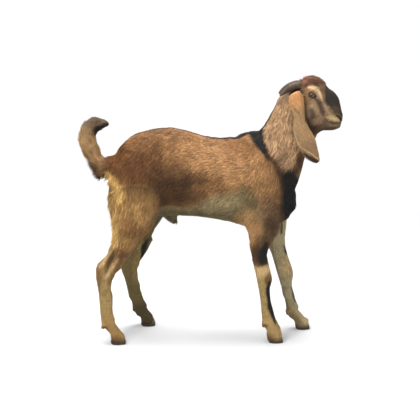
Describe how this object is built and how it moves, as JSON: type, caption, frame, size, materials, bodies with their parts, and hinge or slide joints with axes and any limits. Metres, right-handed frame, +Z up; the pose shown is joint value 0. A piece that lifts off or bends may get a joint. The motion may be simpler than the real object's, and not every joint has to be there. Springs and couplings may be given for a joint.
{
  "type": "goat",
  "caption": "Young male goat standing still at life size: arched nose, long hanging ears, short backswept horns, raised curled tail and cloven hooves.",
  "frame": {"origin": "on the floor, under the middle of the whole goat's box", "axes": "+X from tail to nose, +Y to the goat's left side, +Z up"},
  "size_m": [0.9224, 0.2646, 0.9428],
  "materials": {
    "coat": "short reddish-brown and tan hair with black, cream and buff markings",
    "leg_coat": "short buff and cream hair with black marks",
    "dark_coat": "long dark brown hair with a pale fringe",
    "ear_coat": "very short tan hair over thin skin",
    "horn": "ringed grey-brown horn",
    "hoof": "worn brown hoof horn",
    "eye": "wet, hazel-grey with a dark level pupil"
  },
  "bodies": {
    "root": {"dewclaw_front_left_1": "hoof", "dewclaw_front_left_2": "hoof", "dewclaw_front_right_1": "hoof", "dewclaw_front_right_2": "hoof", "dewclaw_hind_left_1": "hoof", "dewclaw_hind_left_2": "hoof", "dewclaw_hind_right_1": "hoof", "dewclaw_hind_right_2": "hoof", "ear_left": "ear_coat", "ear_right": "ear_coat", "eye_left": "eye", "eye_right": "eye", "head": "coat", "hoof_front_left_1": "hoof", "hoof_front_left_2": "hoof", "hoof_front_right_1": "hoof", "hoof_front_right_2": "hoof", "hoof_hind_left_1": "hoof", "hoof_hind_left_2": "hoof", "hoof_hind_right_1": "hoof", "hoof_hind_right_2": "hoof", "horn_left": "horn", "horn_right": "horn", "leg_front_left": "leg_coat", "leg_front_right": "leg_coat", "leg_hind_left": "leg_coat", "leg_hind_right": "leg_coat", "neck": "coat", "tail": "dark_coat", "trunk": "coat"}
  },
  "joints": []
}
